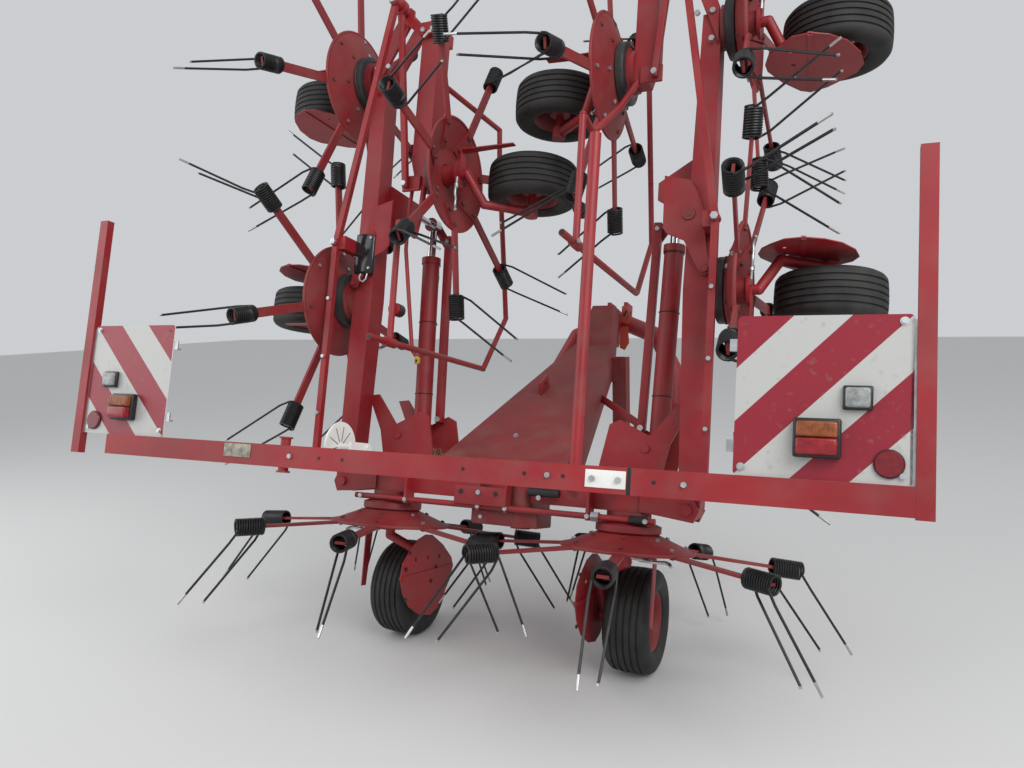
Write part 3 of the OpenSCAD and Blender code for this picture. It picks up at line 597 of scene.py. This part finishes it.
# Rotor bolts: two through each arm and the dish, with their nuts below.
# Most are painted over and rusty, and some newer ones are plated.
tilt = Matrix.Rotation(math.atan2(0.048, 0.124), 4, "Y")
hub_r = 0.120
hub_top = 0.058
dish_fall = 0.400
for side in ("left", "right"):
    for unit in (1, 2, 3, 4):
        bolts = bmesh.new()
        for k in range(7):
            turn = spinner_place(side, unit) @ Matrix.Rotation(
                math.radians(rest_turns[side][unit - 1] + k * 360 / 7), 4, "Z")
            for r in (0.150, 0.222):
                rise = hub_top - (r - hub_r) * dish_fall
                head = turn @ Matrix.Translation((r, 0, rise - 0.001)) @ tilt
                nut = turn @ Matrix.Translation((r, 0, rise - 0.029)) @ tilt
                hexagon(bolts, head, 0.015, 0.007, k % 3 > 0)
                hexagon(bolts, nut, 0.018, 0.010, 1)
        finish_piece(f"rotor_bolts_{side}_{unit}", bolts, [zinc, rusty_bolt], f"spinner_{side}_{unit}",
                     False)


# Folded sections: hinge pins and bolts of the wings and outer sections, and the black buffer of each guard.
# They are given in the working position of the right wing and folded up with their section.
pivot = Vector((0.760, 0.455))
hinge_out = {"left": axis_x(3) + 0.283, "right": axis_x(3) + 0.463}
x4 = axis_x(4)
guard_z = 0.324
guard_back = -0.7102
buffer_x = x4 + 0.690
bar_x = x4 + 0.828


def folded(side, x, y, z, outer=False):
    if outer:
        x = 2 * hinge_out[side] - x
        z = 2 * (pivot.y + 0.125) - z
    sign = -1 if side == "left" else 1
    return point(sign * (pivot.x - (z - pivot.y)), y, pivot.y + (x - pivot.x))


behind = (to_shared.to_3x3() @ Vector((0, -1, 0))).normalized()
for side in ("left", "right"):
    trim = bmesh.new()
    hinge = hinge_out[side]
    for x, z, size, depth in ((0.835, 0.378, 0.026, -0.3910), (1.819, 0.378, 0.026, -0.3910),
                              (1.300, 0.378, 0.015, -0.3832), (1.560, 0.378, 0.015, -0.3832),
                              (1.050, 0.378, 0.015, -0.3832), (hinge, 0.580, 0.030, -0.3932)):
        hexagon(trim, axis_frame(folded(side, x, depth, z), behind), size, 0.012, 0)
    for x, z in ((2.575, 0.440), (2.690, 0.440), (2.690, 0.500), (hinge - 0.060, 0.560)):
        hexagon(trim, axis_frame(folded(side, x, -0.2660, z), behind), 0.021, 0.010, 0)
    finish_piece(f"wing_trim_{side}", trim, [zinc], f"wing_{side}")
    trim = bmesh.new()
    for x, z in ((hinge + 0.100, 0.480), (hinge + 0.100, 0.430), (hinge, 0.590)):
        hexagon(trim, axis_frame(folded(side, x, -0.2790, z, True), behind), 0.021, 0.010, 0)
    cap = axis_frame(folded(side, buffer_x, -0.506, guard_z, True), -behind)
    barrel(trim, cap, 0.0245, 0.006, 1, 32, 0.018)
    buffer = axis_frame(folded(side, buffer_x, -0.545, guard_z, True), -behind)
    barrel(trim, buffer, 0.0265, 0.034, 1, 36)
    # A thin black disc at the open end of the guard tube paints the shade inside the tube.
    bore_shade = axis_frame(folded(side, x4 + 0.830, guard_back, guard_z, True), behind)
    barrel(trim, bore_shade, 0.0095, 0.0012, 1, 20)
    above = folded(side, 0, 0, 1, True) - folded(side, 0, 0, 0, True)
    hexagon(trim, axis_frame(folded(side, bar_x, -0.600, 0.343, True), above), 0.016, 0.008)
    finish_piece(f"outer_trim_{side}", trim, [zinc, black_plastic_and_painted_shade], f"outer_{side}")


# Outer bar of the right section's guard, with the end of its holder, a clamp sleeve and a black buffer.
# It goes on from the corner where the solid tube ends, in the same red tube of 26 mm.
guard_bar = bmesh.new()
for line in (((0.585, 0.445), (0.805, 0.284), (0.8105, 0.272), (0.8115, 0.255), (0.830, -0.710)),
             ((0.580, -0.570), (0.828, -0.565))):
    tube(guard_bar, [folded("right", x4 + s, y, guard_z, True) for s, y in line], 0.0132, 20)
tube(guard_bar, [folded("right", bar_x, y, guard_z, True) for y in (-0.600, -0.530)], 0.019, 24, 0)
tube(guard_bar, [folded("right", buffer_x, y, guard_z, True) for y in (-0.561, -0.506)], 0.0242, 28, 1)
finish_piece("guard_bar_right", guard_bar, [frame_red, black_plastic_and_painted_shade], "outer_right")


# Gear housing covers: a black plastic ring around the drum of every folding gear housing, over its seam.
# It sits between the dish and the arm, and the dish turns under it.
dusty_black = plain_material("dusty_black", (0.020, 0.019, 0.019), 0.50, 0.0, 0.45, 20.0)
section = ((0.1255, 0.0), (0.1290, 0.002), (0.1290, 0.007), (0.1265, 0.009), (0.1265, 0.029),
           (0.1240, 0.034), (0.1060, 0.041), (0.1020, 0.0395), (0.1020, 0.036), (0.1150, 0.030),
           (0.1252, 0.026))
for side in ("left", "right"):
    for unit in (2, 3, 4):
        outer = unit == 4
        foot = folded(side, axis_x(unit), -0.200, 0.3500, outer)
        upward = folded(side, axis_x(unit), -0.200, 0.4500, outer) - foot
        cover = bmesh.new()
        lathe(cover, axis_frame(foot, upward), section)
        body = f"outer_{side}" if outer else f"wing_{side}"
        finish_piece(f"drum_cover_{side}_{unit}", cover, [dusty_black], body)


# Height levers: a bent zinc-plated lever under the flange of each wheel leg, on its outer side.
# It is round bar with a turned-up end, pinned to the flange.
for side, sign in (("left", -1), ("right", 1)):
    for unit in (1, 2, 3, 4):
        lever = bmesh.new()
        line = []
        for x, y, z in ((0.030, -0.242, 0.2620), (0.072, -0.250, 0.2600), (0.092, -0.260, 0.2570),
                        (0.112, -0.262, 0.2560), (0.130, -0.252, 0.2560), (0.160, -0.250, 0.2580),
                        (0.176, -0.256, 0.2540), (0.184, -0.266, 0.2460)):
            if unit == 1:
                line.append(point(sign * (axis_x(1) + x), y, z))
            else:
                line.append(folded(side, axis_x(unit) + x, y, z, unit == 4))
        tube(lever, line, 0.0065, 12)
        barrel(lever, axis_frame(line[1] - (line[1] - line[0]) * 0.3, line[5] - line[2]), 0.011, 0.020, 0, 20)
        body = "root" if unit == 1 else (f"outer_{side}" if unit == 4 else f"wing_{side}")
        finish_piece(f"height_lever_{side}_{unit}", lever, [zinc], body)


# Square and flat bars: from one point to another, its width across the given side.
def bar(mesh, a, b, width, depth, coat=0, toward=(0.0, -1.0, 0.0)):
    a = Vector(a)
    b = Vector(b)
    brick(mesh, axis_frame((a + b) / 2, b - a, toward), (depth, width, (b - a).length), coat, 0.003)


# Stays of the outer sections: a square bar from an eye on the outer hinge to a lug over the last housing.
# Red tube, with the eye turned on the hinge's axis and a bolt at its far end.
for side in ("left", "right"):
    hinge = hinge_out[side]
    stay = bmesh.new()
    eye = axis_frame(folded(side, hinge, -0.338, 0.580, True), behind * -1)
    lathe(stay, eye, ((0.0224, 0.0), (0.0350, 0.0), (0.0360, 0.001), (0.0360, 0.025), (0.0350, 0.026),
                      (0.0224, 0.026)), 0, 48)
    near = folded(side, hinge + 0.030, -0.3235, 0.5775, True)
    far = folded(side, 3.780, -0.2780, 0.5030, True)
    bar(stay, near, far, 0.026, 0.026, 0, behind)
    lug = Matrix.Translation(folded(side, 3.755, -0.2570, 0.485, True)) @ to_shared.to_3x3().to_4x4()
    brick(stay, lug, (0.090, 0.0138, 0.070), 0, 0.002)
    hexagon(stay, axis_frame(folded(side, 3.765, -0.2905, 0.5045, True), behind), 0.022, 0.011, 1)
    finish_piece(f"outer_stay_{side}", stay, [frame_red, zinc], f"outer_{side}")


# Stop bars of the fold cylinders: a red square bar beside each barrel, hung on the rod's eye by a flat plate.
# Its lower end carries a zinc roller that stands over the fish-tail plates while the machine is folded.
for side, sign in (("left", -1), ("right", 1)):
    stop = bmesh.new()
    low = point(sign * 0.487, 0.080, 0.752)
    top = point(sign * 0.5165, 0.080, 1.660)
    bar(stop, low, top, 0.034, 0.034, 0, behind)
    bar(stop, point(sign * 0.510, 0.1010, 1.590), point(sign * 0.606, 0.1010, 1.728),
        0.044, 0.008, 0, behind)
    barrel(stop, to_shared @ axis_frame((sign * 0.600, 0.0905, 1.715), (0, 1, 0)), 0.024, 0.020, 1, 32)
    barrel(stop, to_shared @ axis_frame((sign * 0.4875, 0.0600, 0.768), (0, -1, 0)), 0.013, 0.010, 1, 24)
    hexagon(stop, to_shared @ axis_frame((sign * 0.5155, 0.0630, 1.630), (0, -1, 0)), 0.018, 0.009, 1)
    finish_piece(f"stop_bar_{side}", stop, [frame_red, zinc], f"rod_{side}")


# Left outer section: the round lock rod with its hooked end and the yellow clip on the hook.
# The rod is bent from 18 mm bar and welded to the stay's lug.
yellow_plastic = plain_material("yellow_plastic", (0.52, 0.36, 0.03), 0.45)
lock = bmesh.new()
hook = ((3.770, -0.2250, 0.500), (3.900, -0.2050, 0.522), (4.045, -0.2000, 0.522), (4.480, -0.2000, 0.449),
        (4.512, -0.2000, 0.440), (4.531, -0.2000, 0.424), (4.534, -0.2000, 0.404), (4.520, -0.2000, 0.389),
        (4.500, -0.2000, 0.384))
tube(lock, [folded("left", x, y, z, True) for x, y, z in hook], 0.009, 16)
clip = Matrix.Translation(folded("left", 4.552, -0.2000, 0.412, True)) @ to_shared.to_3x3().to_4x4()
brick(lock, clip, (0.024, 0.018, 0.036), 1, 0.005)
brick(lock, clip @ Matrix.Translation((0, -0.0095, -0.004)), (0.010, 0.004, 0.012), 2, 0.001)
finish_piece("lock_rod_left", lock, [frame_red, yellow_plastic, black_plastic_and_painted_shade], "outer_left")


# Left wing: a glossy black cover bent around the arm's back, with a plated shackle at its lower end.
# Two small bolts hold it on the arm.
gloss_black = plain_material("gloss_black", (0.016, 0.017, 0.020), 0.12, 0.0, 0.2, 9.0)
cover = bmesh.new()
place = Matrix.Translation(folded("left", 1.790, -0.2725, 0.4700)) @ to_shared.to_3x3().to_4x4()
brick(cover, place, (0.104, 0.028, 0.190), 0, 0.013)
for z in (-0.070, 0.070):
    hexagon(cover, place @ Matrix.Translation((0.034, -0.014, z)) @ rear, 0.011, 0.006, 1)
shackle = [place @ Vector(p) for p in ((-0.012, -0.004, -0.092), (-0.014, -0.012, -0.112),
                                       (-0.006, -0.014, -0.128), (0.010, -0.014, -0.132),
                                       (0.022, -0.012, -0.120), (0.022, -0.004, -0.092))]
tube(cover, shackle, 0.0045, 10, 1)
finish_piece("arm_cover_left", cover, [gloss_black, zinc], "wing_left")


# Flat plates: an outline of points and its copy on the other face, joined around the edge.
def prism(mesh, front, back, coat=0):
    front = [mesh.verts.new(p) for p in front]
    back = [mesh.verts.new(p) for p in back]
    faces = [mesh.faces.new(front), mesh.faces.new(back)]
    for k in range(len(front)):
        n = (k + 1) % len(front)
        faces.append(mesh.faces.new((front[k], front[n], back[n], back[k])))
    for face in faces:
        face.material_index = coat
    return [edge for face in faces[:2] for edge in face.edges]


# Eye plates of the wings: a leaf-shaped plate on the arm's back that covers the fold cylinder's eye.
# Cut from 10 mm plate and painted, with a round boss near its top and a washered pin at its lower end.
leaf_back = -0.2765
leaf_thick = 0.010
for side, sign in (("left", -1), ("right", 1)):
    leaf = bmesh.new()
    outline = ((0.620, 1.729), (0.721, 1.703), (0.750, 1.653), (0.780, 1.561), (0.786, 1.480), (0.790, 1.424),
               (0.808, 1.372), (0.808, 1.345), (0.796, 1.327), (0.775, 1.330), (0.747, 1.380), (0.706, 1.468),
               (0.639, 1.496), (0.622, 1.520))
    faces_y = (leaf_back, leaf_back + leaf_thick)
    rims = prism(leaf, *[[point(sign * x, y, z) for x, z in outline] for y in faces_y])
    bmesh.ops.bevel(leaf, geom=rims, offset=0.0015, segments=2, profile=0.5, affect="EDGES", material=-1)
    for x, proud, z, wide, height, coat, steps, top in (
            (0.720, 0.000, 1.569, 0.026, 0.007, 0, 36, 0.024),
            (0.720, 0.007, 1.569, 0.012, 0.002, 1, 24, 0.012),
            (0.789, 0.000, 1.349, 0.019, 0.003, 1, 32, 0.019),
            (0.789, 0.003, 1.349, 0.013, 0.010, 0, 28, 0.012)):
        place = to_shared @ axis_frame((sign * x, leaf_back - proud, z), (0, -1, 0))
        barrel(leaf, place, wide, height, coat, steps, top)
    finish_piece(f"eye_plate_{side}", leaf, [frame_red, rusty_bolt], f"wing_{side}")


# Gooseneck fittings: a slotted lug on its back face, a bolt below it and the flat brace to the right foot.
# The lug and the brace are cut from red plate and welded on.
neck = bmesh.new()
slope = math.atan2(0.63, 1.0)
on_neck = at(-0.060, 0.320, 0.947) @ Matrix.Rotation(slope, 4, "X")
brick(neck, on_neck @ Matrix.Translation((0, 0, 0.030)), (0.012, 0.110, 0.062), 0, 0.004)
# The lug's slot is a black block through the plate: painted shade in the slot.
brick(neck, on_neck @ Matrix.Translation((0, 0.010, 0.034)), (0.0126, 0.034, 0.016), 1, 0.003)
on_neck = at(-0.023, -0.068, 0.7025) @ Matrix.Rotation(slope, 4, "X")
barrel(neck, on_neck, 0.012, 0.002, 2, 24)
hexagon(neck, on_neck, 0.016, 0.009, 2)
bar(neck, point(0.150, 0.500, 0.946), point(0.486, 0.112, 0.776), 0.034, 0.006, 0, behind)
finish_piece("neck_fittings", neck, [frame_red, black_plastic_and_painted_shade, zinc], "root")


# Headstock ears: two small plates beside the swivel, orange-red with newer paint, the upper one slotted.
# They are welded above and below the bent tube and turn with the headstock.
orange_red = worn_paint("orange_red", (0.42, 0.050, 0.022), 0.45, 0.25, 0.04)
ears = bmesh.new()
for outline in (((0.068, 1.440), (0.108, 1.430), (0.122, 1.470), (0.086, 1.536), (0.068, 1.530)),
                ((0.068, 1.412), (0.108, 1.412), (0.120, 1.318), (0.096, 1.276), (0.068, 1.290))):
    prism(ears, *[[point(x, y, z) for x, z in outline] for y in (1.1000, 1.1080)])
slot_turn = Matrix.Rotation(math.radians(28), 4, "Y")
# The upper ear's slot is a black block through the plate: painted shade in the slot.
brick(ears, at(0.090, 1.1040, 1.490) @ slot_turn, (0.012, 0.0088, 0.040), 1, 0.001)
finish_piece("headstock_ears", ears, [orange_red, black_plastic_and_painted_shade], "headstock", False)


# Shields of the two centre wheels: open bolt holes around the leaf-shaped plate, painted shade through the
# red sheet.
# They are punched holes, shown as short black plugs a little proud of both faces that paint the shade in
# them.
hole_shade = bmesh.new()
shield_face = 0.3768
for sign in (-1, 1):
    for y, z in ((-0.276, 0.181), (-0.299, 0.116), (-0.284, -0.010), (-0.040, 0.106), (-0.080, 0.048)):
        hole = to_shared @ axis_frame((sign * shield_face, y, z), (-sign, 0, 0))
        barrel(hole_shade, hole, 0.0075, 0.0054, 0, 20)
finish_piece("shield_hole_shade", hole_shade, [black_plastic_and_painted_shade], "root", False)


# Hay: a tuft left on the left foot plate beside the cylinder, and a few stalks on the right one.
# Thin dry stalks, bent at random, lying on the plate and the beam.
hay_green = plain_material("hay_green", (0.10, 0.085, 0.035), 0.85, 0.0, 0.4)
hay_straw = plain_material("hay_straw", (0.34, 0.27, 0.14), 0.80, 0.0, 0.4)
chance = random.Random(7)
hay = bmesh.new()
plate_top = 0.5545
for middle_x, count in ((-0.440, 120), (0.410, 36)):
    for k in range(count):
        x = middle_x + chance.gauss(0, 0.038)
        y = -0.075 + chance.gauss(0, 0.026)
        turn = chance.uniform(0, math.tau)
        reach = chance.uniform(0.030, 0.065)
        rise = chance.uniform(0.004, 0.075) * (1 if count > 60 else 0.4)
        x = min(max(x, middle_x - 0.065), middle_x + 0.065)
        out_x = reach * math.cos(turn)
        out_y = 0.5 * reach * math.sin(turn)
        stalk = [(x - out_x, y - out_y, plate_top), (x, y, 0.556 + rise),
                 (x + out_x, y + out_y, 0.556 + rise * chance.uniform(0.2, 0.9))]
        tube(hay, [to_shared @ Vector(p) for p in stalk], 0.0013, 4, k % 3 == 0)
finish_piece("hay_tufts", hay, [hay_green, hay_straw], "root", False)


# White disc: thin black spokes painted on both faces of the sheet.
# A plated washer and nut hold it at its hub.
disc_trim = bmesh.new()
disc_y = -0.905
disc_z = 0.594
for x, direction in ((-0.316, 1), (-0.322, -1)):
    disc_place = to_shared @ axis_frame((x, disc_y, disc_z), (direction, 0, 0))
    for k in range(10):
        turn = Matrix.Rotation(k * math.tau / 10 + 0.2, 4, "Z")
        brick(disc_trim, disc_place @ turn @ Matrix.Translation((0.044, 0, 0.0003)), (0.052, 0.0022, 0.0012))
barrel(disc_trim, disc_place, 0.017, 0.004, 1, 24)
hexagon(disc_trim, disc_place @ Matrix.Translation((0, 0, 0.004)), 0.019, 0.009, 1)
finish_piece("disc_spokes", disc_trim, [black_plastic_and_painted_shade, zinc], "root", False)
